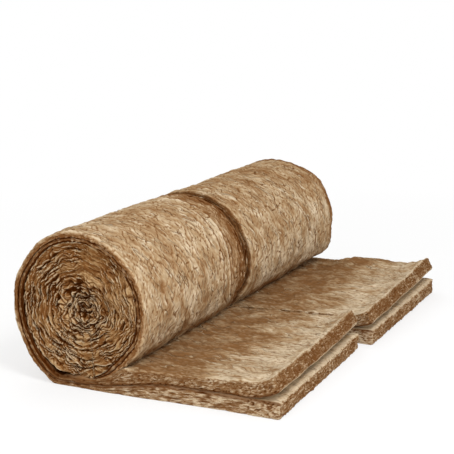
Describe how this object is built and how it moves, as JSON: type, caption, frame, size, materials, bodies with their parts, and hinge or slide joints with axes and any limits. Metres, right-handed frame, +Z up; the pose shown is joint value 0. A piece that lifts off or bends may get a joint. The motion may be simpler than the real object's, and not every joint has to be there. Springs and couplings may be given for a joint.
{
  "type": "insulation roll",
  "caption": "Glass wool insulation roll lying on its side, slit into two half rolls of two layers each, with the start of both unrolled on the floor.",
  "frame": {"origin": "middle of the overall box, on the floor that the roll lies on", "axes": "+Y along the roll from the front half roll to the rear one, +X towards the free end of the unrolled tail, +Z up"},
  "size_m": [0.7729, 1.25, 0.4135],
  "materials": {
    "outer_wool": "light brown glass wool, fibrous and matt, darker at its cut edges",
    "inner_wool": "light brown glass wool, fibrous and matt, darker at its wound ends"
  },
  "bodies": {
    "root": {"front_outer_layer": "outer_wool", "front_inner_layer": "inner_wool", "rear_outer_layer": "outer_wool", "rear_inner_layer": "inner_wool"}
  },
  "joints": []
}
